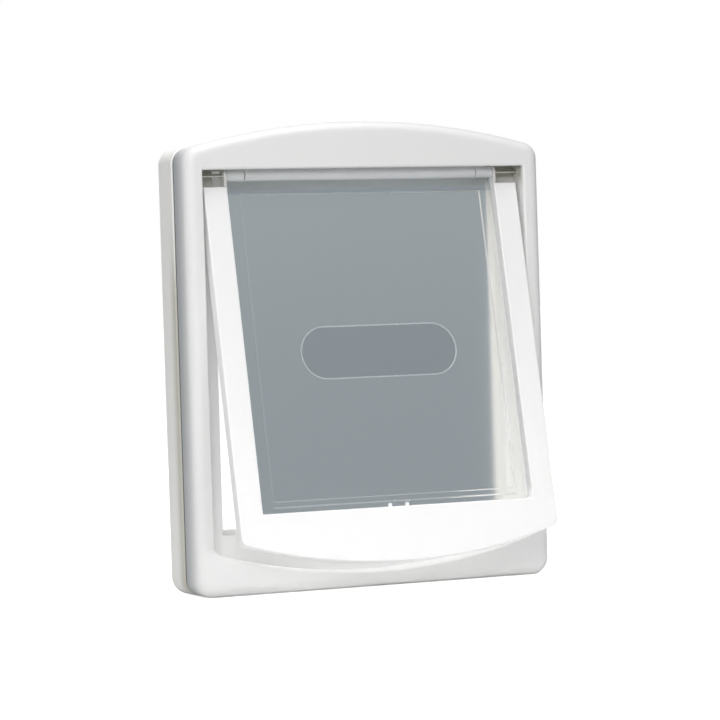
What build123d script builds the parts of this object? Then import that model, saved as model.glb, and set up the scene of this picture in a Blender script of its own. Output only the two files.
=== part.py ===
"""Two-way pet door: a two-part frame that clamps a door leaf, with a surround and a panel on one hinge rod.

X runs to the right, Y to the back and Z up. The origin is the middle of the lower edge of the clamp gap.
The flap stands open, as it does when a hand holds it out from the frame. Sizes are in millimetres.
"""
import os
from math import cos, radians, sin, sqrt

from build123d import *

# Outline of the frame
frame_width = 294.0
frame_height = 352.0  # to the crown of the arch
arch_rise = 20.0  # from the shoulder to the crown
corner_radius = 13.0

# Mouldings of the frame
wall = 2.5
front_depth = 25.0
clamp_gap = 3.0  # room for the door leaf
rear_depth = 31.0
front_edge_radius = 8.0
rear_edge_radius = 5.0
lip_radius = 2.0  # of the front opening's edge
rear_lip_radius = 1.0
rim_chamfer = 1.2  # of the clamping rims' outer edges
rib = 1.8
rib_pitch = 84.0
rib_rows = 3  # across the sides, and as many down the top and the bottom
rib_setback = 6.0  # of the ribs from the clamping rim

# Front opening, with a sill that sags between the jambs
jamb_face = 14.0  # width of the face beside the opening
lintel_face = 35.4  # height of the face above it, at the crown
sill_end = 33.0
sill_middle = 12.4
sill_corner = 8.0  # between the sill and the jambs
pocket_rise = 4.4  # of the hinge pocket above the lip of the lintel
stop_width = 14.0  # of the stop that the surround closes against

# Rear opening
flange = 3.0  # thickness of the rear frame's front flange
flange_step = 3.8  # of the flange above the front stop's sill
rear_reveal = 2.0  # of the rear opening inside the front one
lintel_drop = 11.4  # of the rear lintel below the hinge line
tunnel_rise = 2.0  # of the rear tunnel above the front opening

# Hinge
hinge_depth = 13.0  # of the rod behind the front face
hinge_drop = 4.2  # of the rod below the lip of the lintel
rod_radius = 1.5
rod_end_gap = 0.5
bush_wall = 1.97
bush_flange = 1.2
bush_lip = 1.7  # of the flange around the bush
bush_boss_radius = 6.0
bush_boss = 3.0  # length of the boss behind the jamb
open_angle = 11.5  # of the flap as it stands, from shut

# Flap surround
surround_gap = 3.05  # beside the jambs
sill_gap = 4.0  # above the sill
stop_gap = 0.8  # before the stop, when shut
surround_thickness = 9.0
surround_proud = 3.5  # of the front face before the hinge line
surround_skin = 2.5
surround_wall = 2.2
surround_corner = 6.0
surround_edge_radius = 1.2
rail_width = 19.1
rail_drop = 9.0  # of the rail tops below the hinge line
bottom_rail = 40.7  # height in the middle
stop_reveal = 12.6  # of the stop's sill below the bottom rail's inner edge
ear_thickness = 2.0
ear_radius = 4.6
nib_width = 2.2
nib_height = 3.0
nib_depth = 2.0
nib_spacing = 14.0
surround_ribs = 3  # on each rail
bottom_ribs = 6
rib_margin = 1.0  # of the surround's ribs inside its back edge

# Flap panel
panel_gap = 0.75  # beside and below the panel
panel_thickness = 3.0
panel_setback = 4.75  # of the panel's face behind the surround's
panel_corner = 3.0
barrel_radius = 4.25
border_side = 10.0
border_top = 14.0  # from the hinge line
border_bottom = 8.0
border_step = 0.8
border_slope = 45.0  # of the step's side, in degrees
border_groove = 1.2  # width of the groove along the lower border
groove_depth = 0.4
badge_width = 129.0
badge_height = 40.5
badge_drop = 136.3  # of the badge's middle below the hinge line
badge_rim = 1.0
badge_rim_height = 0.4
knuckle = 14.0  # length of the barrel's end sections
knuckle_slit = 1.2
nib_gap = 0.3

# Fasteners
screw_low = 30.0
screw_drop = 70.0  # of the upper screws below the crown
screw_radius = 1.75
screw_head_radius = 3.5
screw_head = 2.2
screw_bite = 14.0  # of the screws into the front frame
screw_boss_radius = 5.0
cap_radius = 4.0
head_recess = 4.5

# Magnets
magnet_length = 50.0
magnet_height = 8.0
magnet_thickness = 3.0
magnet_level = 31.0  # height of both magnets when the flap is shut
pocket_wall = 1.5

# Fits
pass_gap = 4.9  # beside the panel in the flange
running_fit = 0.08  # radial, of a bore that turns on the rod
seat_fit = 0.03  # radial, of a bore or hole that stays still
screw_fit = 0.05  # radial, in the front frame's bosses
screw_clearance = 0.3  # radial, in the rear frame's bosses
cap_fit = 0.08
magnet_fit = 0.1

# Places that follow from the sizes above
half_width = frame_width / 2
shoulder = frame_height - arch_rise
front_rim = -clamp_gap / 2
front_plane = front_rim - front_depth
rear_rim = clamp_gap / 2
back_plane = rear_rim + rear_depth
arc_chamfer = 2 - sqrt(2)  # of a corner cut that touches its arc, for a radius of 1
opening_half = half_width - jamb_face
opening_top = frame_height - lintel_face
pocket_top = opening_top + pocket_rise
sill_sag = sill_end - sill_middle
sill_radius = (opening_half**2 + sill_sag**2) / (2 * sill_sag)
hinge_y = front_plane + hinge_depth
hinge_z = opening_top - hinge_drop
bush_reach = wall + bush_boss
bush_radius = rod_radius + seat_fit + bush_wall
surround_half = opening_half - surround_gap
surround_back = surround_thickness - surround_proud
surround_bottom = sill_middle + sill_gap
inner_half = surround_half - rail_width
inner_bottom = surround_bottom + bottom_rail
stop_depth = hinge_depth + surround_back + stop_gap
stop_half = opening_half - stop_width
stop_sill = inner_bottom - stop_reveal
rail_top = hinge_z - rail_drop
panel_half = inner_half - panel_gap
panel_bottom = inner_bottom + panel_gap
panel_front = panel_setback - surround_proud
flange_half = panel_half + pass_gap
flange_sill = stop_sill + flange_step
rear_half = opening_half - rear_reveal
rear_lintel = hinge_z - lintel_drop
tunnel_top = opening_top + tunnel_rise
screw_x = half_width - jamb_face / 2
screw_high = frame_height - screw_drop
screw_places = [(side * screw_x, z) for side in (-1, 1) for z in (screw_low, screw_high)]
head_seat = back_plane - head_recess


def upright(y):
    """The plane at depth y, with X to the right and Z up, facing the front."""
    return Plane.XZ.offset(-y)


def flap_at(depth):
    """The flap's own plane through the hinge line, moved back by a depth."""
    tilt = radians(open_angle)
    hinge = Plane((0, hinge_y, hinge_z), x_dir=(1, 0, 0), z_dir=(0, -cos(tilt), sin(tilt)))
    return hinge.offset(-depth)


def flap_side(x):
    """The plane across the hinge line at x: local x runs to the flap's back, local y up the flap."""
    tilt = radians(open_angle)
    return Plane((x, hinge_y, hinge_z), x_dir=(0, cos(tilt), -sin(tilt)), z_dir=(1, 0, 0))


def below_hinge(z):
    """A height of the shut flap, measured from the hinge line."""
    return z - hinge_z


def sill_height(x):
    """Height of the sill's curve at x."""
    return sill_middle + sill_radius - sqrt(sill_radius**2 - x**2)


def frame_outline(margin=0.0):
    """The arched outline that both frames share, grown by a margin."""
    with BuildSketch() as outline:
        with BuildLine():
            Polyline((-half_width, shoulder), (-half_width, 0), (half_width, 0), (half_width, shoulder))
            ThreePointArc((half_width, shoulder), (0, frame_height), (-half_width, shoulder))
        make_face()
        fillet(outline.vertices(), corner_radius)
        if margin:
            offset(amount=margin)
    return outline.sketch


def sagging_hole(top, margin=0.0):
    """The front opening's outline up to a given height, grown by a margin."""
    with BuildSketch() as hole:
        with BuildLine():
            left = (-opening_half, sill_end)
            right = (opening_half, sill_end)
            Polyline(right, (opening_half, top), (-opening_half, top), left)
            ThreePointArc(left, (0, sill_middle), right)
        make_face()
        fillet(hole.vertices().group_by(Axis.Y)[0], sill_corner)
        if margin:
            offset(amount=margin, kind=Kind.INTERSECTION)
    return hole.sketch


def square_hole(half, bottom, top, margin=0.0):
    """A rectangle on the centre line, grown by a margin."""
    with BuildSketch() as hole:
        with Locations((0, (bottom + top) / 2)):
            Rectangle(2 * (half + margin), top - bottom + 2 * margin)
    return hole.sketch


def stiffeners():
    """Ribs across the hollow of a frame, clear of its opening."""
    with BuildSketch() as ribs:
        with Locations((0, (screw_low + screw_high) / 2)):
            with GridLocations(0, rib_pitch, 1, rib_rows):
                Rectangle(frame_width, rib)
        with Locations((0, frame_height / 2)):
            with GridLocations(rib_pitch, 0, rib_rows, 1):
                Rectangle(rib, frame_height)
        add(frame_outline(-wall / 2), mode=Mode.INTERSECT)
        add(sagging_hole(pocket_top), mode=Mode.SUBTRACT)
    return ribs.sketch


def surround_outline():
    """The U of the surround in the flap's plane, open at the top."""
    end = below_hinge(sill_height(surround_half) + sill_gap)
    middle = below_hinge(surround_bottom)
    top = below_hinge(rail_top)
    with BuildSketch() as outline:
        with BuildLine():
            left = (-surround_half, end)
            right = (surround_half, end)
            Polyline(right, (surround_half, top), (-surround_half, top), left)
            ThreePointArc(left, (0, middle), right)
        make_face()
        fillet(outline.vertices().group_by(Axis.Y)[0], surround_corner)
        with Locations((0, below_hinge(inner_bottom))):
            Rectangle(2 * inner_half, frame_height, align=(Align.CENTER, Align.MIN), mode=Mode.SUBTRACT)
    return outline.sketch


# Front frame: a rounded shell, open at the back, with the flap's tunnel and its stop inside
with BuildPart() as outer_hollow:
    with BuildSketch(upright(front_plane + wall)):
        add(frame_outline(-wall))
    extrude(amount=wall - front_depth)
    chamfer(outer_hollow.faces().sort_by(Axis.Y)[0].edges(), (front_edge_radius - wall) * arc_chamfer)

with BuildPart() as outer_frame:
    with BuildSketch(upright(front_plane)):
        add(frame_outline())
    extrude(amount=-front_depth)
    fillet(outer_frame.faces().sort_by(Axis.Y)[0].edges(), front_edge_radius)
    chamfer(outer_frame.faces().sort_by(Axis.Y)[-1].edges(), rim_chamfer)
    add(outer_hollow.part, mode=Mode.SUBTRACT)
    with BuildSketch(upright(front_plane + front_edge_radius)):
        add(stiffeners())
    extrude(amount=front_edge_radius + rib_setback - front_depth)
    with BuildSketch(upright(front_plane + front_edge_radius)):
        with Locations(*screw_places):
            Circle(screw_boss_radius)
    extrude(amount=front_edge_radius - front_depth)
    # Tunnel block with the stop at its back, and the collar behind the stop
    with BuildSketch(upright(front_plane + wall)):
        add(sagging_hole(pocket_top, wall))
    extrude(amount=-stop_depth)
    with BuildSketch(upright(front_plane + stop_depth)):
        add(square_hole(stop_half, stop_sill, opening_top, wall))
    extrude(amount=stop_depth - front_depth)
    for side in (-1, 1):
        with BuildSketch(Plane.YZ.offset(side * opening_half)):
            with Locations((hinge_y, hinge_z)):
                Circle(bush_boss_radius)
        extrude(amount=side * bush_reach)
    # Pocket of the sill magnet, behind the stop
    with BuildSketch(upright(front_plane + stop_depth + wall)):
        with Locations((0, magnet_level)):
            Rectangle(magnet_length + 2 * pocket_wall, magnet_height + 2 * pocket_wall)
    extrude(amount=stop_depth + wall - front_depth)
    with BuildSketch(upright(front_plane + stop_depth + wall)):
        with Locations((0, magnet_level)):
            Rectangle(magnet_length + 2 * magnet_fit, magnet_height + 2 * magnet_fit)
    extrude(amount=stop_depth + wall - front_depth, mode=Mode.SUBTRACT)
    # Opening at the front lip, hinge pocket and tunnel, then the hole in the stop
    with BuildSketch(upright(front_plane)):
        add(sagging_hole(opening_top))
    extrude(amount=-wall, mode=Mode.SUBTRACT)
    with BuildSketch(upright(front_plane + wall)):
        add(sagging_hole(pocket_top))
    extrude(amount=wall - stop_depth, mode=Mode.SUBTRACT)
    with BuildSketch(upright(front_plane + stop_depth)):
        add(square_hole(stop_half, stop_sill, opening_top))
    extrude(amount=stop_depth - front_depth, mode=Mode.SUBTRACT)
    fillet(outer_frame.faces().sort_by(Axis.Y)[0].inner_wires()[0].edges(), lip_radius)
    with BuildSketch(upright(front_rim)):
        with Locations(*screw_places):
            Circle(screw_radius + screw_fit)
    extrude(amount=screw_bite, mode=Mode.SUBTRACT)
    for side in (-1, 1):
        with BuildSketch(Plane.YZ.offset(side * opening_half)):
            with Locations((hinge_y, hinge_z)):
                Circle(bush_radius + seat_fit)
        extrude(amount=side * bush_reach, mode=Mode.SUBTRACT)

# Rear frame: the same outline, open at the front, with a flange around the panel's way through
with BuildPart() as inner_hollow:
    with BuildSketch(upright(rear_rim)):
        add(frame_outline(-wall))
    extrude(amount=wall - rear_depth)
    chamfer(inner_hollow.faces().sort_by(Axis.Y)[-1].edges(), (rear_edge_radius - wall) * arc_chamfer)

with BuildPart() as inner_frame:
    with BuildSketch(upright(rear_rim)):
        add(frame_outline())
    extrude(amount=-rear_depth)
    fillet(inner_frame.faces().sort_by(Axis.Y)[-1].edges(), rear_edge_radius)
    chamfer(inner_frame.faces().sort_by(Axis.Y)[0].edges(), rim_chamfer)
    add(inner_hollow.part, mode=Mode.SUBTRACT)
    with BuildSketch(upright(rear_rim + rib_setback)):
        add(stiffeners())
    extrude(amount=rear_edge_radius + rib_setback - rear_depth)
    with BuildSketch(upright(rear_rim)):
        with Locations(*screw_places):
            Circle(screw_boss_radius)
    extrude(amount=rear_edge_radius - rear_depth)
    with BuildSketch(upright(rear_rim)):
        add(square_hole(rear_half, stop_sill, tunnel_top, wall))
    extrude(amount=wall - rear_depth)
    # Hole in the flange, tunnel behind it, and the rear opening under its lintel
    with BuildSketch(upright(rear_rim)):
        add(square_hole(flange_half, flange_sill, opening_top))
    extrude(amount=-flange, mode=Mode.SUBTRACT)
    with BuildSketch(upright(rear_rim + flange)):
        add(square_hole(rear_half, stop_sill, tunnel_top))
    extrude(amount=flange + wall - rear_depth, mode=Mode.SUBTRACT)
    with BuildSketch(upright(back_plane)):
        add(square_hole(rear_half, stop_sill, rear_lintel))
    extrude(amount=wall, mode=Mode.SUBTRACT)
    fillet(inner_frame.faces().sort_by(Axis.Y)[-1].inner_wires()[0].edges(), rear_lip_radius)
    with BuildSketch(upright(rear_rim)):
        with Locations(*screw_places):
            Circle(screw_radius + screw_clearance)
    extrude(amount=-rear_depth, mode=Mode.SUBTRACT)
    with BuildSketch(upright(back_plane)):
        with Locations(*screw_places):
            Circle(cap_radius + cap_fit)
    extrude(amount=head_recess, mode=Mode.SUBTRACT)

# Hinge rod and the two bushes that carry it, pushed into the jambs from behind
with BuildPart() as hinge_rod:
    with BuildSketch(Plane.YZ):
        with Locations((hinge_y, hinge_z)):
            Circle(rod_radius)
    extrude(amount=opening_half + bush_reach - rod_end_gap, both=True)

hinge_bushes = {}
for name, side in (("hinge_bush_left", -1), ("hinge_bush_right", 1)):
    jamb = Plane((side * opening_half, hinge_y, hinge_z), x_dir=(side, 0, 0), z_dir=(0, -side, 0))
    with BuildPart() as bush:
        with BuildSketch(jamb):
            with Locations((0, rod_radius + seat_fit)):
                Rectangle(bush_reach + bush_flange, bush_wall, align=Align.MIN)
            with Locations((bush_reach, rod_radius + seat_fit)):
                Rectangle(bush_flange, bush_wall + bush_lip, align=Align.MIN)
        revolve(axis=Axis((0, hinge_y, hinge_z), (1, 0, 0)))
    hinge_bushes[name] = bush

# Fixing screws from the rear frame into the front one, and the caps over their heads
with BuildPart() as fixing_screws:
    with BuildSketch(upright(head_seat)):
        with Locations(*screw_places):
            Circle(screw_head_radius)
    extrude(amount=-screw_head)
    with BuildSketch(upright(head_seat)):
        with Locations(*screw_places):
            Circle(screw_radius)
    extrude(amount=head_seat - front_rim + screw_bite)

with BuildPart() as screw_caps:
    with BuildSketch(upright(head_seat + screw_head)):
        with Locations(*screw_places):
            Circle(cap_radius)
    extrude(amount=screw_head - head_recess)

# Flap surround: a U-shaped shell, open at the back, with an ear for the rod at each rail's inner edge
with BuildPart() as flap_surround:
    with BuildSketch(flap_at(-surround_proud)):
        add(surround_outline())
    extrude(amount=-surround_thickness)
    front_face = flap_surround.faces().sort_by(Axis((0, 0, 0), flap_at(0).z_dir))[-1]
    fillet(front_face.edges(), surround_edge_radius)
    with BuildSketch(flap_at(surround_skin - surround_proud)):
        add(surround_outline())
        offset(amount=-surround_wall)
    extrude(amount=surround_skin - surround_thickness, mode=Mode.SUBTRACT)
    # Ribs across the rails and the bottom rail, and the walls of the magnet's pocket
    with BuildSketch(flap_at(surround_skin - surround_proud)):
        with Locations((0, below_hinge((inner_bottom + rail_top) / 2))):
            with GridLocations(0, (rail_top - inner_bottom) / surround_ribs, 1, surround_ribs):
                Rectangle(2 * surround_half, rib)
        with GridLocations(2 * inner_half / bottom_ribs, 0, bottom_ribs, 1):
            with Locations((0, below_hinge(surround_bottom))):
                Rectangle(rib, bottom_rail, align=(Align.CENTER, Align.MIN))
        with Locations((0, below_hinge(magnet_level))):
            Rectangle(magnet_length + 2 * pocket_wall, magnet_height + 2 * pocket_wall)
        add(surround_outline(), mode=Mode.INTERSECT)
    extrude(amount=surround_skin + rib_margin - surround_thickness)
    with BuildSketch(flap_at(surround_back)):
        with Locations((0, below_hinge(magnet_level))):
            Rectangle(magnet_length + 2 * magnet_fit, magnet_height + 2 * magnet_fit)
    extrude(amount=rib_margin + magnet_thickness, mode=Mode.SUBTRACT)
    for side in (-1, 1):
        with BuildSketch(flap_side(side * inner_half)) as ear:
            Circle(ear_radius)
            with Locations((surround_back - surround_thickness / 2, -rail_drop)):
                Rectangle(surround_thickness - 2 * surround_edge_radius, surround_wall)
            make_hull(ear.edges())
            Circle(rod_radius + running_fit, mode=Mode.SUBTRACT)
        extrude(amount=side * ear_thickness)
    # Nibs before the panel's lower edge, which carry the surround along when the panel is pushed out
    with BuildSketch(flap_at(panel_front - nib_gap)):
        with Locations((0, below_hinge(inner_bottom) - surround_wall / 2)):
            with GridLocations(nib_spacing, 0, 2, 1):
                Rectangle(nib_width, nib_height + surround_wall / 2, align=(Align.CENTER, Align.MIN))
    extrude(amount=nib_depth)

# Flap panel: a clear sheet with a hinge barrel, a raised border and a bare field for a badge
with BuildPart() as flap_panel:
    with BuildSketch(flap_at(panel_front)) as sheet:
        with Locations((0, below_hinge(panel_bottom))):
            Rectangle(2 * panel_half, hinge_z - panel_bottom, align=(Align.CENTER, Align.MIN))
        fillet(sheet.vertices().group_by(Axis.Y)[0], panel_corner)
    extrude(amount=-panel_thickness)
    with BuildSketch(flap_side(0)):
        Circle(barrel_radius)
    extrude(amount=panel_half, both=True)
    with BuildSketch(flap_at(panel_front)):
        with Locations((0, -border_top)):
            Rectangle(
                2 * (panel_half - border_side),
                hinge_z - panel_bottom - border_top - border_bottom,
                align=(Align.CENTER, Align.MAX),
            )
    extrude(amount=-border_step, taper=border_slope, mode=Mode.SUBTRACT)
    with BuildSketch(flap_at(panel_front)):
        with Locations((0, below_hinge(panel_bottom) + border_bottom / 2)):
            Rectangle(2 * (panel_half - border_side), border_groove)
    extrude(amount=-groove_depth, mode=Mode.SUBTRACT)
    with BuildSketch(flap_at(panel_front + border_step)):
        with Locations((0, -badge_drop)):
            SlotOverall(badge_width, badge_height)
            SlotOverall(badge_width - 2 * badge_rim, badge_height - 2 * badge_rim, mode=Mode.SUBTRACT)
    extrude(amount=badge_rim_height)
    with BuildSketch(flap_side(0)):
        Circle(rod_radius + running_fit)
    extrude(amount=panel_half, both=True, mode=Mode.SUBTRACT)
    for side in (-1, 1):
        with BuildSketch(flap_side(side * (panel_half - knuckle))):
            Circle(barrel_radius)
            with Locations((panel_front + barrel_radius / 2, 0)):
                Rectangle(barrel_radius, 2 * barrel_radius, mode=Mode.SUBTRACT)
        extrude(amount=knuckle_slit / 2, both=True, mode=Mode.SUBTRACT)

# Magnets that hold the flap shut
with BuildPart() as surround_magnet:
    with BuildSketch(flap_at(surround_back - rib_margin)):
        with Locations((0, below_hinge(magnet_level))):
            Rectangle(magnet_length, magnet_height)
    extrude(amount=magnet_thickness)

with BuildPart() as sill_magnet:
    with BuildSketch(upright(front_plane + stop_depth + wall)):
        with Locations((0, magnet_level)):
            Rectangle(magnet_length, magnet_height)
    extrude(amount=-magnet_thickness)

pieces = {
    "outer_frame": outer_frame,
    "inner_frame": inner_frame,
    "hinge_rod": hinge_rod,
    **hinge_bushes,
    "fixing_screws": fixing_screws,
    "screw_caps": screw_caps,
    "flap_surround": flap_surround,
    "flap_panel": flap_panel,
    "surround_magnet": surround_magnet,
    "sill_magnet": sill_magnet,
}
os.makedirs("parts", exist_ok=True)
for name, piece in pieces.items():
    piece.part.label = name
    export_step(piece.part, f"parts/{name}.step")
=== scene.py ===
"""Pet door: the looks of the two-part frame, the flap surround, the clear panel and their hinge."""
from math import cos, radians, sin

import bmesh
import bpy
from mathutils import Matrix, Vector


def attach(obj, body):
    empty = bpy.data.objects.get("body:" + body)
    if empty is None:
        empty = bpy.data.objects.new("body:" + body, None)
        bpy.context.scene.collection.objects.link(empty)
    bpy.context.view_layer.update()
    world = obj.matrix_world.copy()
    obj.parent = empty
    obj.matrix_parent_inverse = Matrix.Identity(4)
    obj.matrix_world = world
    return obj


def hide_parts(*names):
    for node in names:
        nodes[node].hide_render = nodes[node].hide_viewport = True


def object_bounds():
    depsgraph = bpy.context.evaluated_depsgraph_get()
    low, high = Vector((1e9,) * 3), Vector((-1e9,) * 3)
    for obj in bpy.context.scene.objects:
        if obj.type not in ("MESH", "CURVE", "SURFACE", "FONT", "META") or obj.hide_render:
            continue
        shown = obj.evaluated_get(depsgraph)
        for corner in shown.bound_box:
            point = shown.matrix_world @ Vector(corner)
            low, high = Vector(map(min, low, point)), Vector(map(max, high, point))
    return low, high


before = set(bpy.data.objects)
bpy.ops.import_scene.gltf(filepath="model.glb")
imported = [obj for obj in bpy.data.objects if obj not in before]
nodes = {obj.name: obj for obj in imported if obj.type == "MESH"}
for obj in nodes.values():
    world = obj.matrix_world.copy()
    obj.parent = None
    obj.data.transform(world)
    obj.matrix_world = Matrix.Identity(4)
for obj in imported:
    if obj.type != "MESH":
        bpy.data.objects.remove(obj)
cad_low, cad_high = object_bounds()

# The flap as it stands: its hinge line, how far it is open, and places on the panel from that line
HINGE = (0.0, -0.0135, 0.3124)
FLAP_TILT = radians(11.5)
PANEL_FACE = 0.00125  # depth of the panel's border behind the hinge line
PANEL_FIELD = 0.00205  # depth of its sunk field
BARREL_RADIUS = 0.00425
BORDER_IN = 0.1001  # half of the field's width
BORDER_TOP = 0.014  # of the field's upper edge below the hinge line
BADGE_DROP = 0.1363  # of the badge's middle below the hinge line
BADGE_HALF = 0.0443  # from its middle to the centres of its round ends
BADGE_RADIUS = 0.0193  # inside its rim
BADGE_MARGIN = 0.003  # beyond the rim's inside, to take in all of the rim
PANEL_HALF = 0.1101  # half of the panel's width
FROST_START = 0.0026  # depth behind the hinge line at which the frosted back begins
FROST_FULL = 0.0036
BADGE_EDGE = 0.0002  # half-width of the change of colour at the badge's rim
TOP_EDGE = 0.0004  # and at the field's upper edge
NEAR = 0.00005  # how far inside two depths a face counts as lying between them
STEP_REACH = 0.0005  # how far beyond the field's width its steps may lie
EDGE_REACH = 0.0002  # how far inside the panel's width its outer edges may lie
WELD = 0.000001
SHARP = radians(30)

# The rear frame's rim, which faces the clamp gap, with a painted shade laid on its front
RIM_FRONT = 0.0015
RIM_SIDE = 0.1415
RIM_TOP = 0.327
RIM_EDGE = 0.001  # over which its painted shade sets in
RIM_AHEAD = 0.0016  # up to which depth it is full
RIM_BEHIND = 0.0019  # and where it ends

# The frames' sides, with a painted shade towards the clamp gap
SIDE_BACK = -0.0015  # back of the front frame
SIDE_FADE = 0.026  # from the gap to where the front frame's painted shade ends
REAR_FADE = 0.014  # and the rear frame's
REAR_HIGH = 0.29  # where the rear frame's painted shade ends upwards
REAR_FULL = 0.21  # below which it is full
SIDE_IN = 0.1385  # where the shade of a side sets in
SIDE_OUT = 0.1455

# The pockets beside the panel's barrel, in which the rod is bare, and which get a painted shade
POCKET_LOW = 0.300
POCKET_HIGH = 0.322
POCKET_IN = 0.108
POCKET_OUT = 0.134
POCKET_FRONT = -0.0235
POCKET_BACK = 0.028
POCKET_RISE = 0.012  # over which their painted shade sets in upwards
POCKET_DEEPEN = 0.003  # and backwards
POCKET_END = 0.001  # over which it ends there
POCKET_EDGE = 0.0005  # over which it sets in and ends sideways

# The surround's inner edges, beside the panel, and the lower ends of its ears, which get a painted shade
RAIL_START = 0.107  # from the middle outwards their painted shade sets in between these two
RAIL_FULL = 0.109
RAIL_IN = 0.1110  # and it ends past this
RAIL_EDGE = 0.0004
RAIL_LOW = 0.066  # just above the bottom rail
RAIL_RISE = 0.006
EAR_LOW = 0.3030  # at the upper ends of the rails
EAR_RISE = 0.0015

# Finishes, as linear colours
FRAME_WHITE = (0.86, 0.86, 0.857)
FRAME_SHADE = (0.835, 0.835, 0.832)
REAR_WHITE = (0.94, 0.935, 0.915)
REAR_SHADE = (0.92, 0.915, 0.895)
# Painted shades laid over the whites: on the rear frame's rim, on both frames' sides towards the gap, in
# the hinge pockets, and on the surround's inner edges and ears
RIM_PAINTED_SHADE = (0.22, 0.22, 0.21)
SIDE_PAINTED_SHADE = (0.43, 0.45, 0.47)
REAR_SIDE_PAINTED_SHADE = (0.58, 0.565, 0.50)
POCKET_PAINTED_SHADE = (0.50, 0.49, 0.43)
# the hinge pockets' painted shade on the rear frame, darker
POCKET_DEEP = (0.36, 0.35, 0.30)
RAIL_PAINTED_SHADE = (0.76, 0.76, 0.75)
FLAP_WHITE = (0.955, 0.955, 0.955)
FLAP_SHADE = (0.935, 0.935, 0.93)
PANEL_TINT = (0.965, 0.96, 0.945)
PANEL_SHADE = (0.945, 0.94, 0.925)
PANEL_LIGHT = (0.985, 0.98, 0.97)
BADGE_TINT = (0.81, 0.815, 0.81)
# painted shade: the panel's tint above the field, darker and bluer where shade shows through it
TOP_PAINTED_SHADE = (0.76, 0.80, 0.83)
FROST_WHITE = (0.90, 0.91, 0.92)
FROST_SHADE = (0.82, 0.84, 0.86)
STEP_FROST = (0.78, 0.81, 0.82)
STEP_SHADE = (0.74, 0.77, 0.78)
PLASTIC_IOR = 1.50
PANEL_IOR = 1.49
BUMP_STRENGTH = 0.3
FRONT_ROUGHNESS = 0.09  # of the panel
BACK_ROUGHNESS_LOW = 0.245
BACK_ROUGHNESS_HIGH = 0.268  # a rougher back would look speckled in patches
ROD_STEEL = (0.62, 0.61, 0.58)
ROD_SHADE = (0.50, 0.49, 0.46)
ZINC = (0.66, 0.67, 0.68)
ZINC_SHADE = (0.55, 0.56, 0.58)
BUSH_PLASTIC = (0.66, 0.66, 0.63)
BUSH_SHADE = (0.60, 0.60, 0.57)
FERRITE = (0.055, 0.053, 0.052)
FERRITE_SHADE = (0.035, 0.034, 0.034)

# Studio
FLOOR_COLOUR = (0.88, 0.88, 0.87)
FLOOR_ROUGHNESS = 0.9
FLOOR_GLOSS = 0.1
FLOOR_GLOW = (1.0, 1.0, 1.0)
GLOW_NEAR = 0.8  # of the glow far off
GLOW_START = 0.25  # distance from the middle at which it begins to rise
GLOW_FULL = 1.2
FLOOR_HALF = 30.0
FLOOR_DROP = 0.0005  # below the part, so that the two don't share a plane
BACKDROP_WHITE = (1.0, 1.0, 1.0)
BACKDROP_THROUGH = (0.345, 0.388, 0.416)
FLOOR_THROUGH = (0.288, 0.326, 0.356)
ROOM_LIGHT = (0.95, 0.97, 1.0)
ROOM_STRENGTH = 0.08


def link(tree, source, target):
    tree.links.new(source, target)


def add_node(tree, kind, place, **values):
    node = tree.nodes.new(kind)
    node.location = place
    for name, value in values.items():
        setattr(node, name, value)
    return node


def new_group(name, inputs, outputs):
    """A shader node group with named sockets, given as (name, socket type, default)."""
    group = bpy.data.node_groups.new(name, "ShaderNodeTree")
    for label, kind, default in inputs:
        socket = group.interface.new_socket(label, in_out="INPUT", socket_type=kind)
        if default is not None:
            socket.default_value = default
    for label, kind in outputs:
        group.interface.new_socket(label, in_out="OUTPUT", socket_type=kind)
    return group


def moulded_skin_group():
    """Fine spark-eroded grain with the slow flow marks of a moulding, on Object coordinates."""
    group = new_group(
        "moulded_skin",
        [
            ("Colour", "NodeSocketColor", None),
            ("Shade", "NodeSocketColor", None),
            ("Grain Scale", "NodeSocketFloat", 2600.0),
            ("Flow Scale", "NodeSocketFloat", 9.0),
            ("Roughness Low", "NodeSocketFloat", 0.3),
            ("Roughness High", "NodeSocketFloat", 0.4),
        ],
        [("Colour", "NodeSocketColor"), ("Roughness", "NodeSocketFloat"), ("Height", "NodeSocketFloat")],
    )
    start = add_node(group, "NodeGroupInput", (-900, 0))
    end = add_node(group, "NodeGroupOutput", (500, 0))
    place = add_node(group, "ShaderNodeTexCoord", (-900, -300))
    grain = add_node(group, "ShaderNodeTexNoise", (-600, -300))
    grain.inputs["Detail"].default_value = 3.0
    grain.inputs["Roughness"].default_value = 0.6
    flow = add_node(group, "ShaderNodeTexNoise", (-600, 150))
    flow.inputs["Detail"].default_value = 4.0
    flow.inputs["Distortion"].default_value = 0.6
    tone = add_node(group, "ShaderNodeMix", (0, 250), data_type="RGBA")
    rough = add_node(group, "ShaderNodeMapRange", (0, -50))
    spread = add_node(group, "ShaderNodeMath", (-250, -100), operation="MULTIPLY_ADD")
    spread.inputs[1].default_value = 0.4
    link(group, place.outputs["Object"], grain.inputs["Vector"])
    link(group, place.outputs["Object"], flow.inputs["Vector"])
    link(group, start.outputs["Grain Scale"], grain.inputs["Scale"])
    link(group, start.outputs["Flow Scale"], flow.inputs["Scale"])
    link(group, flow.outputs["Fac"], tone.inputs["Factor"])
    link(group, start.outputs["Colour"], tone.inputs["A"])
    link(group, start.outputs["Shade"], tone.inputs["B"])
    link(group, grain.outputs["Fac"], spread.inputs[0])
    link(group, flow.outputs["Fac"], spread.inputs[2])
    link(group, spread.outputs[0], rough.inputs["Value"])
    link(group, start.outputs["Roughness Low"], rough.inputs["To Min"])
    link(group, start.outputs["Roughness High"], rough.inputs["To Max"])
    link(group, tone.outputs["Result"], end.inputs["Colour"])
    link(group, rough.outputs["Result"], end.inputs["Roughness"])
    link(group, grain.outputs["Fac"], end.inputs["Height"])
    return group


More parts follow.
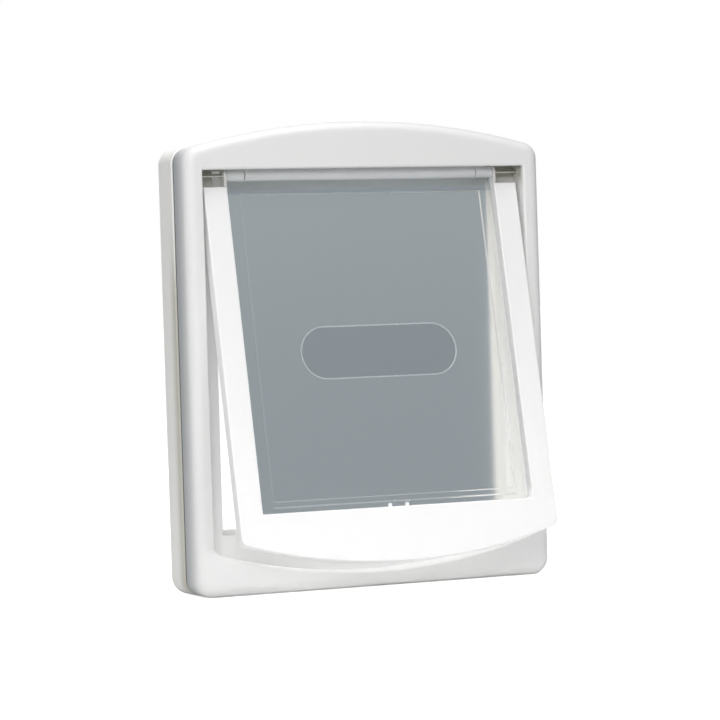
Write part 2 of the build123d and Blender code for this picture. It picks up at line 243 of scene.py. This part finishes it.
def drawn_metal_group():
    """Fine lines drawn along X, as on rod and wire."""
    group = new_group(
        "drawn_metal",
        [
            ("Colour", "NodeSocketColor", None),
            ("Shade", "NodeSocketColor", None),
            ("Line Scale", "NodeSocketFloat", 900.0),
            ("Roughness Low", "NodeSocketFloat", 0.25),
            ("Roughness High", "NodeSocketFloat", 0.45),
        ],
        [("Colour", "NodeSocketColor"), ("Roughness", "NodeSocketFloat"), ("Height", "NodeSocketFloat")],
    )
    start = add_node(group, "NodeGroupInput", (-900, 0))
    end = add_node(group, "NodeGroupOutput", (500, 0))
    place = add_node(group, "ShaderNodeTexCoord", (-900, -300))
    stretch = add_node(group, "ShaderNodeMapping", (-700, -300))
    stretch.inputs["Scale"].default_value = (0.04, 1.0, 1.0)
    lines = add_node(group, "ShaderNodeTexNoise", (-500, -300))
    lines.inputs["Detail"].default_value = 4.0
    tone = add_node(group, "ShaderNodeMix", (0, 250), data_type="RGBA")
    rough = add_node(group, "ShaderNodeMapRange", (0, -50))
    link(group, place.outputs["Object"], stretch.inputs["Vector"])
    link(group, stretch.outputs["Vector"], lines.inputs["Vector"])
    link(group, start.outputs["Line Scale"], lines.inputs["Scale"])
    link(group, lines.outputs["Fac"], tone.inputs["Factor"])
    link(group, start.outputs["Colour"], tone.inputs["A"])
    link(group, start.outputs["Shade"], tone.inputs["B"])
    link(group, lines.outputs["Fac"], rough.inputs["Value"])
    link(group, start.outputs["Roughness Low"], rough.inputs["To Min"])
    link(group, start.outputs["Roughness High"], rough.inputs["To Max"])
    link(group, tone.outputs["Result"], end.inputs["Colour"])
    link(group, rough.outputs["Result"], end.inputs["Roughness"])
    link(group, lines.outputs["Fac"], end.inputs["Height"])
    return group


moulded_skin = moulded_skin_group()
drawn_metal = drawn_metal_group()


def rgba(colour):
    return (*colour, 1.0)


def new_material(name):
    """A material with one Principled shader. Returns the material, its tree, the shader and the output."""
    material = bpy.data.materials.new(name)
    material.use_nodes = True
    tree = material.node_tree
    return material, tree, tree.nodes["Principled BSDF"], tree.nodes["Material Output"]


def set_values(node, values):
    for label, value in values.items():
        node.inputs[label].default_value = value


def skin_values(colours, grain, flow, roughness):
    """What the group of the moulded skin is given. Colours and roughness are pairs."""
    return {
        "Colour": rgba(colours[0]),
        "Shade": rgba(colours[1]),
        "Grain Scale": grain,
        "Flow Scale": flow,
        "Roughness Low": roughness[0],
        "Roughness High": roughness[1],
    }


def metal_values(colours, lines, roughness):
    """What the group of the drawn metal is given. Colours and roughness are pairs."""
    return {
        "Colour": rgba(colours[0]),
        "Shade": rgba(colours[1]),
        "Line Scale": lines,
        "Roughness Low": roughness[0],
        "Roughness High": roughness[1],
    }


def dressed(name, group, values, bump_depth, **sockets):
    """A material whose colour, roughness and relief come from a group, with plain values on the shader."""
    material, tree, shader, _ = new_material(name)
    skin = add_node(tree, "ShaderNodeGroup", (-500, 200), node_tree=group)
    set_values(skin, values)
    bump = add_node(tree, "ShaderNodeBump", (-250, -200))
    bump.inputs["Strength"].default_value = BUMP_STRENGTH
    bump.inputs["Distance"].default_value = bump_depth
    link(tree, skin.outputs["Colour"], shader.inputs["Base Color"])
    link(tree, skin.outputs["Roughness"], shader.inputs["Roughness"])
    link(tree, skin.outputs["Height"], bump.inputs["Height"])
    link(tree, bump.outputs["Normal"], shader.inputs["Normal"])
    set_values(shader, sockets)
    return material


def white_finish(name, colour, shade):
    values = skin_values((colour, shade), grain=2600.0, flow=9.0, roughness=(0.28, 0.40))
    return dressed(name, moulded_skin, values, bump_depth=0.00004, IOR=PLASTIC_IOR)


def bush_finish():
    values = skin_values((BUSH_PLASTIC, BUSH_SHADE), grain=3200.0, flow=60.0, roughness=(0.45, 0.60))
    return dressed("bush_plastic", moulded_skin, values, bump_depth=0.00004, IOR=PLASTIC_IOR)


def rod_finish():
    values = metal_values((ROD_STEEL, ROD_SHADE), lines=1400.0, roughness=(0.22, 0.42))
    return dressed("rod_steel", drawn_metal, values, bump_depth=0.00003, Metallic=1.0)


def screw_finish():
    values = metal_values((ZINC, ZINC_SHADE), lines=1100.0, roughness=(0.28, 0.45))
    return dressed("zinc_screw", drawn_metal, values, bump_depth=0.00003, Metallic=1.0)


def magnet_finish():
    values = skin_values((FERRITE, FERRITE_SHADE), grain=1500.0, flow=70.0, roughness=(0.5, 0.7))
    return dressed("ferrite", moulded_skin, values, bump_depth=0.0001)


def flap_place_group():
    """Places on the flap from the hinge line: Across to the right, Depth to the back, Height up it."""
    group = new_group(
        "flap_place",
        [],
        [("Across", "NodeSocketFloat"), ("Depth", "NodeSocketFloat"), ("Height", "NodeSocketFloat")],
    )
    end = add_node(group, "NodeGroupOutput", (300, 0))
    place = add_node(group, "ShaderNodeTexCoord", (-500, 0))
    turn = add_node(group, "ShaderNodeMapping", (-250, 0), vector_type="TEXTURE")
    turn.inputs["Location"].default_value = HINGE
    turn.inputs["Rotation"].default_value = (-FLAP_TILT, 0.0, 0.0)
    split = add_node(group, "ShaderNodeSeparateXYZ", (50, 0))
    link(group, place.outputs["Object"], turn.inputs["Vector"])
    link(group, turn.outputs["Vector"], split.inputs["Vector"])
    link(group, split.outputs["X"], end.inputs["Across"])
    link(group, split.outputs["Y"], end.inputs["Depth"])
    link(group, split.outputs["Z"], end.inputs["Height"])
    return group


def math_step(tree, place, operation, first, second):
    """A Math node. Each input is a socket to link or a plain number."""
    node = add_node(tree, "ShaderNodeMath", place, operation=operation)
    for slot, value in enumerate((first, second)):
        if isinstance(value, float):
            node.inputs[slot].default_value = value
        else:
            link(tree, value, node.inputs[slot])
    return node.outputs[0]


def soft_step(tree, place, value, low, high):
    """Rises smoothly from 0 at low to 1 at high."""
    node = add_node(tree, "ShaderNodeMapRange", place, interpolation_type="SMOOTHSTEP")
    link(tree, value, node.inputs["Value"])
    node.inputs["From Min"].default_value = low
    node.inputs["From Max"].default_value = high
    return node.outputs["Result"]


def rim_shade_paint_mask(tree, across, depth, height):
    """1 on the front of the rear frame's rim, where its painted shade goes."""
    at_side = soft_step(tree, (-700, 700), across, RIM_SIDE, RIM_SIDE + RIM_EDGE)
    at_top = soft_step(tree, (-700, 500), height, RIM_TOP, RIM_TOP + RIM_EDGE)
    at_front = soft_step(tree, (-700, 300), depth, RIM_BEHIND, RIM_AHEAD)
    on_rim = math_step(tree, (-500, 600), "MAXIMUM", at_side, at_top)
    return math_step(tree, (-350, 500), "MULTIPLY", on_rim, at_front)


def side_shade_paint_mask(tree, across, depth, height):
    """Rises to 1 along the front frame's sides towards the clamp gap, where their painted shade goes."""
    at_side = soft_step(tree, (-700, 700), across, SIDE_IN, SIDE_OUT)
    to_gap = soft_step(tree, (-700, 500), depth, SIDE_BACK - SIDE_FADE, SIDE_BACK)
    return math_step(tree, (-500, 600), "MULTIPLY", at_side, to_gap)


def rear_side_shade_paint_mask(tree, across, depth, height):
    """Rises to 1 along the rear frame's sides towards the clamp gap, but not at the top, where their
    painted shade goes.
    """
    at_side = soft_step(tree, (-700, 700), across, SIDE_IN, SIDE_OUT)
    to_gap = soft_step(tree, (-700, 500), depth, RIM_FRONT + REAR_FADE, RIM_FRONT)
    below = soft_step(tree, (-700, 300), height, REAR_HIGH, REAR_FULL)
    side = math_step(tree, (-500, 600), "MULTIPLY", at_side, to_gap)
    return math_step(tree, (-350, 500), "MULTIPLY", side, below)


def band(tree, place, value, low, high, rise, fall):
    """1 between low and high, rising and falling smoothly inside them."""
    right, top = place
    rising = soft_step(tree, (right - 400, top + 100), value, low, low + rise)
    falling = soft_step(tree, (right - 400, top - 100), value, high, high - fall)
    return math_step(tree, (right - 200, top), "MULTIPLY", rising, falling)


def pocket_shade_paint_mask(tree, across, depth, height):
    """Rises to 1 up the hinge pockets, where their painted shade goes."""
    upright = band(tree, (-300, 1700), height, POCKET_LOW, POCKET_HIGH, POCKET_RISE, POCKET_END)
    beside = band(tree, (-300, 1300), across, POCKET_IN, POCKET_OUT, POCKET_EDGE, POCKET_EDGE)
    within = band(tree, (-300, 900), depth, POCKET_FRONT, POCKET_BACK, POCKET_DEEPEN, POCKET_END)
    square = math_step(tree, (-300, 1500), "MULTIPLY", upright, beside)
    return math_step(tree, (-150, 1300), "MULTIPLY", square, within)


def rail_shade_paint_mask(tree, across, depth, height):
    """1 on the surround's edges beside the panel, and on its ears, where their painted shade goes."""
    inner = soft_step(tree, (-700, 700), across, RAIL_IN + RAIL_EDGE, RAIL_IN)
    side = soft_step(tree, (-700, 500), across, RAIL_START, RAIL_FULL)
    above = soft_step(tree, (-700, 300), height, EAR_LOW, EAR_LOW + EAR_RISE)
    higher = soft_step(tree, (-700, 900), height, RAIL_LOW, RAIL_LOW + RAIL_RISE)
    edge = math_step(tree, (-500, 600), "MULTIPLY", inner, side)
    upper = math_step(tree, (-420, 700), "MULTIPLY", edge, higher)
    return math_step(tree, (-350, 500), "MAXIMUM", upper, above)


def lay_painted_shade(material, shade, make_mask):
    """Paints a shade over a material's colour, by a mask of the place across, in depth and in height."""
    tree = material.node_tree
    colour = tree.nodes["Principled BSDF"].inputs["Base Color"]
    place = add_node(tree, "ShaderNodeTexCoord", (-1300, 700))
    split = add_node(tree, "ShaderNodeSeparateXYZ", (-1100, 700))
    link(tree, place.outputs["Object"], split.inputs["Vector"])
    across = math_step(tree, (-900, 700), "ABSOLUTE", split.outputs["X"], 0.0)
    mask = make_mask(tree, across, split.outputs["Y"], split.outputs["Z"])
    tint = add_node(tree, "ShaderNodeMix", (-200, 400), data_type="RGBA")
    tint.inputs["B"].default_value = rgba(shade)
    link(tree, colour.links[0].from_socket, tint.inputs["A"])
    link(tree, mask, tint.inputs["Factor"])
    link(tree, tint.outputs["Result"], colour)


def frame_finish():
    """The front frame's white, with a painted shade towards the clamp gap and in the hinge pockets."""
    material = white_finish("frame_white", FRAME_WHITE, FRAME_SHADE)
    lay_painted_shade(material, SIDE_PAINTED_SHADE, side_shade_paint_mask)
    lay_painted_shade(material, POCKET_PAINTED_SHADE, pocket_shade_paint_mask)
    return material


def rear_finish():
    """The rear frame's white, with a painted shade towards the gap, on its rim and behind the hinge
    pockets.
    """
    material = white_finish("rear_white", REAR_WHITE, REAR_SHADE)
    lay_painted_shade(material, REAR_SIDE_PAINTED_SHADE, rear_side_shade_paint_mask)
    lay_painted_shade(material, RIM_PAINTED_SHADE, rim_shade_paint_mask)
    lay_painted_shade(material, POCKET_DEEP, pocket_shade_paint_mask)
    return material


def flap_finish():
    """The surround's white, with a painted shade beside the panel and on the ears."""
    material = white_finish("flap_white", FLAP_WHITE, FLAP_SHADE)
    lay_painted_shade(material, RAIL_PAINTED_SHADE, rail_shade_paint_mask)
    return material


def panel_finish():
    """Clear plastic, polished in front and frosted behind, that lets the lamps' light through."""
    material, tree, shader, output = new_material("clear_panel")
    shader.inputs["IOR"].default_value = PANEL_IOR
    shader.inputs["Transmission Weight"].default_value = 1.0
    skin = add_node(tree, "ShaderNodeGroup", (-900, 400), node_tree=moulded_skin)
    back = (BACK_ROUGHNESS_LOW, BACK_ROUGHNESS_HIGH)
    set_values(skin, skin_values((PANEL_TINT, PANEL_SHADE), grain=900.0, flow=14.0, roughness=back))
    flap = add_node(tree, "ShaderNodeGroup", (-1300, -100), node_tree=flap_place_group())
    height = flap.outputs["Height"]
    # The colour is deeper inside the badge's rim
    along = math_step(tree, (-1100, -200), "ABSOLUTE", flap.outputs["Across"], 0.0)
    past = math_step(tree, (-950, -200), "SUBTRACT", along, BADGE_HALF)
    beyond = math_step(tree, (-800, -200), "MAXIMUM", past, 0.0)
    rise = math_step(tree, (-950, -350), "ADD", height, BADGE_DROP)
    beyond_two = math_step(tree, (-650, -200), "MULTIPLY", beyond, beyond)
    rise_two = math_step(tree, (-650, -350), "MULTIPLY", rise, rise)
    reach_two = math_step(tree, (-500, -250), "ADD", beyond_two, rise_two)
    reach = math_step(tree, (-350, -250), "SQRT", reach_two, 0.0)
    badge = soft_step(tree, (-200, -250), reach, BADGE_RADIUS + BADGE_EDGE, BADGE_RADIUS - BADGE_EDGE)
    tint = add_node(tree, "ShaderNodeMix", (-100, 350), data_type="RGBA")
    tint.inputs["B"].default_value = rgba(BADGE_TINT)
    link(tree, badge, tint.inputs["Factor"])
    link(tree, skin.outputs["Colour"], tint.inputs["A"])
    # and, as a painted shade, darker and bluer above the field
    top = soft_step(tree, (-100, 600), height, -BORDER_TOP - TOP_EDGE, -BORDER_TOP + TOP_EDGE)
    upper = add_node(tree, "ShaderNodeMix", (100, 500), data_type="RGBA")
    upper.inputs["B"].default_value = rgba(TOP_PAINTED_SHADE)
    link(tree, top, upper.inputs["Factor"])
    link(tree, tint.outputs["Result"], upper.inputs["A"])
    link(tree, upper.outputs["Result"], shader.inputs["Base Color"])
    # Only the back is frosted
    behind = soft_step(tree, (-600, 50), flap.outputs["Depth"], FROST_START, FROST_FULL)
    frost = add_node(tree, "ShaderNodeMapRange", (-300, 100))
    frost.inputs["To Min"].default_value = FRONT_ROUGHNESS
    link(tree, behind, frost.inputs["Value"])
    link(tree, skin.outputs["Roughness"], frost.inputs["To Max"])
    link(tree, frost.outputs["Result"], shader.inputs["Roughness"])
    rays = add_node(tree, "ShaderNodeLightPath", (100, 400))
    through = add_node(tree, "ShaderNodeBsdfTransparent", (100, -300))
    through.inputs["Color"].default_value = rgba(PANEL_LIGHT)
    mix = add_node(tree, "ShaderNodeMixShader", (350, 100))
    link(tree, rays.outputs["Is Shadow Ray"], mix.inputs[0])
    link(tree, shader.outputs["BSDF"], mix.inputs[1])
    link(tree, through.outputs["BSDF"], mix.inputs[2])
    link(tree, mix.outputs["Shader"], output.inputs["Surface"])
    return material


def frost_finish(name, cover, colour=FROST_WHITE, shade=FROST_SHADE):
    """Clear plastic whitened by a rough mould, which covers what is behind it in part."""
    values = skin_values((colour, shade), grain=1800.0, flow=30.0, roughness=(0.5, 0.7))
    return dressed(name, moulded_skin, values, bump_depth=0.00003, Alpha=cover)


# The panel's finishes, in the order of its slots: the barrel's is on the outer edges too
CLEAR_SLOT, RIM_SLOT, BARREL_SLOT, STEP_SLOT = range(4)
RIM_COVER = 0.22
BARREL_COVER = 0.65
STEP_COVER = 0.18


def on_flap(point):
    """A point's place from the hinge line: to the right, to the back and up the flap."""
    turn = Matrix.Rotation(FLAP_TILT, 3, "X")
    return turn @ (point - Vector(HINGE))


def is_edge_of_step(face):
    """Whether a face of the panel lies between its border and its field, as a step or a rim does."""
    across, depth, height = on_flap(face.calc_center_median())
    between = PANEL_FACE + NEAR < depth < PANEL_FIELD - NEAR
    return between and height < -2 * BARREL_RADIUS and abs(across) < BORDER_IN + STEP_REACH


def panel_slot(face):
    """The slot of a face of the panel."""
    across, _, height = on_flap(face.calc_center_median())
    if height > -BARREL_RADIUS or abs(across) > PANEL_HALF - EDGE_REACH:
        return BARREL_SLOT
    if not is_edge_of_step(face):
        return CLEAR_SLOT
    in_width = abs(across) < BADGE_HALF + BADGE_RADIUS + BADGE_MARGIN
    in_height = abs(height + BADGE_DROP) < BADGE_RADIUS + BADGE_MARGIN
    return RIM_SLOT if in_width and in_height else STEP_SLOT


def make_clear_panel():
    """The panel's solid with its steps, the badge's rim and the barrel frosted."""
    shape = bmesh.new()
    shape.from_mesh(nodes["flap_panel"].data)
    bmesh.ops.remove_doubles(shape, verts=shape.verts[:], dist=WELD)
    for face in shape.faces:
        face.smooth = on_flap(face.calc_center_median()).z > -BARREL_RADIUS
        face.material_index = panel_slot(face)
    mesh = bpy.data.meshes.new("clear_panel")
    shape.to_mesh(mesh)
    shape.free()
    mesh.attributes.remove(mesh.attributes["custom_normal"])
    mesh.set_sharp_from_angle(angle=SHARP)
    mesh.materials.append(panel_finish())
    mesh.materials.append(frost_finish("frosted_rim", RIM_COVER))
    mesh.materials.append(frost_finish("frosted_barrel", BARREL_COVER))
    mesh.materials.append(frost_finish("frosted_step", STEP_COVER, STEP_FROST, STEP_SHADE))
    panel = bpy.data.objects.new("clear_panel", mesh)
    bpy.context.scene.collection.objects.link(panel)
    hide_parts("flap_panel")
    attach(panel, "panel")


def paint(finish, *names):
    for name in names:
        node = nodes[name]
        node.data.materials.clear()
        node.data.materials.append(finish)


paint(frame_finish(), "outer_frame", "screw_caps")
paint(rear_finish(), "inner_frame")
paint(flap_finish(), "flap_surround")
paint(rod_finish(), "hinge_rod")
paint(screw_finish(), "fixing_screws")
paint(bush_finish(), "hinge_bush_left", "hinge_bush_right")
paint(magnet_finish(), "surround_magnet", "sill_magnet")
make_clear_panel()


# Camera, as the door is seen in the photograph
CAMERA_PLACE = (-0.98364, -2.15729, 0.22322)
CAMERA_YAW = radians(24.54)
CAMERA_PITCH = radians(-1.26)
CAMERA_ROLL = radians(1.82)
LENS_MM = 155.43
SENSOR_MM = 36.0


def set_camera():
    level_part = cos(CAMERA_PITCH)
    ahead = Vector((sin(CAMERA_YAW) * level_part, cos(CAMERA_YAW) * level_part, sin(CAMERA_PITCH)))
    level = Vector((cos(CAMERA_YAW), -sin(CAMERA_YAW), 0.0))
    above = level.cross(ahead)
    across = cos(CAMERA_ROLL) * level - sin(CAMERA_ROLL) * above
    upward = sin(CAMERA_ROLL) * level + cos(CAMERA_ROLL) * above
    data = bpy.data.cameras.new("camera")
    data.lens = LENS_MM
    data.sensor_width = SENSOR_MM
    camera = bpy.data.objects.new("camera", data)
    bpy.context.scene.collection.objects.link(camera)
    turn = Matrix((across, upward, -ahead)).transposed()
    camera.matrix_world = Matrix.Translation(CAMERA_PLACE) @ turn.to_4x4()
    bpy.context.scene.camera = camera


def softbox(name, place, aim, size, power, mirrored=True, in_front=False, spread=180.0):
    """A lamp that isn't seen through the panel, with a beam as wide as its spread in degrees.

    The light of a lamp in front of the panel reaches all that is behind it.
    """
    data = bpy.data.lights.new(name, "AREA")
    data.shape = "RECTANGLE"
    data.size, data.size_y = size
    data.energy = power
    data.spread = radians(spread)
    data.cycles.use_multiple_importance_sampling = not in_front
    lamp = bpy.data.objects.new(name, data)
    bpy.context.scene.collection.objects.link(lamp)
    lamp.visible_transmission = False
    lamp.visible_glossy = mirrored
    lamp.location = place
    lamp.rotation_euler = (Vector(aim) - Vector(place)).to_track_quat("-Z", "Y").to_euler()


def set_room():
    """A white room that lights softly and looks greyer through the clear panel."""
    world = bpy.data.worlds.new("room")
    bpy.context.scene.world = world
    world.use_nodes = True
    tree = world.node_tree
    tree.nodes.clear()
    rays = add_node(tree, "ShaderNodeLightPath", (-600, 300))
    light = add_node(tree, "ShaderNodeBackground", (-300, 200))
    light.inputs["Color"].default_value = rgba(ROOM_LIGHT)
    light.inputs["Strength"].default_value = ROOM_STRENGTH
    seen = add_node(tree, "ShaderNodeBackground", (-300, 0))
    seen.inputs["Color"].default_value = rgba(BACKDROP_WHITE)
    through = add_node(tree, "ShaderNodeBackground", (-300, -200))
    through.inputs["Color"].default_value = rgba(BACKDROP_THROUGH)
    direct = add_node(tree, "ShaderNodeMixShader", (0, 100))
    clear = add_node(tree, "ShaderNodeMixShader", (200, 0))
    output = add_node(tree, "ShaderNodeOutputWorld", (400, 0))
    link(tree, rays.outputs["Is Camera Ray"], direct.inputs[0])
    link(tree, light.outputs[0], direct.inputs[1])
    link(tree, seen.outputs[0], direct.inputs[2])
    link(tree, rays.outputs["Is Transmission Ray"], clear.inputs[0])
    link(tree, direct.outputs[0], clear.inputs[1])
    link(tree, through.outputs[0], clear.inputs[2])
    link(tree, clear.outputs[0], output.inputs["Surface"])


def floor_finish():
    """Pale matt floor, lit up to the white of the backdrop where it is seen directly."""
    material, tree, shader, output = new_material("pale_floor")
    shader.inputs["Base Color"].default_value = rgba(FLOOR_COLOUR)
    shader.inputs["Roughness"].default_value = FLOOR_ROUGHNESS
    shader.inputs["Specular IOR Level"].default_value = FLOOR_GLOSS
    rays = add_node(tree, "ShaderNodeLightPath", (-800, 400))
    place = add_node(tree, "ShaderNodeTexCoord", (-1000, -150))
    away = add_node(tree, "ShaderNodeVectorMath", (-800, -150), operation="LENGTH")
    link(tree, place.outputs["Object"], away.inputs[0])
    rise = add_node(tree, "ShaderNodeMapRange", (-600, -150), interpolation_type="SMOOTHSTEP")
    rise.inputs["From Min"].default_value = GLOW_START
    rise.inputs["From Max"].default_value = GLOW_FULL
    rise.inputs["To Min"].default_value = GLOW_NEAR
    link(tree, away.outputs["Value"], rise.inputs["Value"])
    glow = add_node(tree, "ShaderNodeEmission", (-200, -150))
    glow.inputs["Color"].default_value = rgba(FLOOR_GLOW)
    seen = math_step(tree, (-400, -50), "MULTIPLY", rays.outputs["Is Camera Ray"], rise.outputs["Result"])
    link(tree, seen, glow.inputs["Strength"])
    lit = add_node(tree, "ShaderNodeAddShader", (50, 50))
    through = add_node(tree, "ShaderNodeEmission", (50, -300))
    through.inputs["Color"].default_value = rgba(FLOOR_THROUGH)
    mix = add_node(tree, "ShaderNodeMixShader", (250, 100))
    link(tree, shader.outputs["BSDF"], lit.inputs[0])
    link(tree, glow.outputs["Emission"], lit.inputs[1])
    link(tree, rays.outputs["Is Transmission Ray"], mix.inputs[0])
    link(tree, lit.outputs["Shader"], mix.inputs[1])
    link(tree, through.outputs["Emission"], mix.inputs[2])
    link(tree, mix.outputs["Shader"], output.inputs["Surface"])
    return material


def lay_floor():
    shape = bmesh.new()
    bmesh.ops.create_grid(shape, x_segments=1, y_segments=1, size=FLOOR_HALF)
    mesh = bpy.data.meshes.new("floor")
    shape.to_mesh(mesh)
    shape.free()
    mesh.transform(Matrix.Translation((0.0, 0.0, cad_low.z - FLOOR_DROP)))
    mesh.materials.append(floor_finish())
    floor = bpy.data.objects.new("floor", mesh)
    bpy.context.scene.collection.objects.link(floor)


set_camera()
set_room()
lay_floor()
middle = (0.0, 0.0, 0.17)
low_face = (0.1, 0.0, 0.02)
softbox("overhead", (0.0, -1.0, 2.6), middle, (2.2, 1.2), 38.0)
softbox("camera_side", (-1.2, -2.1, 1.0), middle, (1.2, 0.7), 20.5, in_front=True)
softbox("left", (-1.9, -0.5, 0.5), middle, (1.0, 1.2), 4.0, in_front=True)
softbox("low_right", (0.9, -2.0, 0.22), low_face, (1.0, 0.15), 0.12, mirrored=False, spread=12.0)
softbox("top_back", (0.0, 0.1, 1.9), middle, (1.2, 0.6), 9.0)
softbox("left_back", (-1.6, 1.2, 0.6), middle, (0.8, 1.2), 1.0)
softbox("behind", (0.3, 1.9, 0.9), middle, (1.6, 1.4), 8.0)
bpy.context.scene.view_settings.view_transform = "Standard"
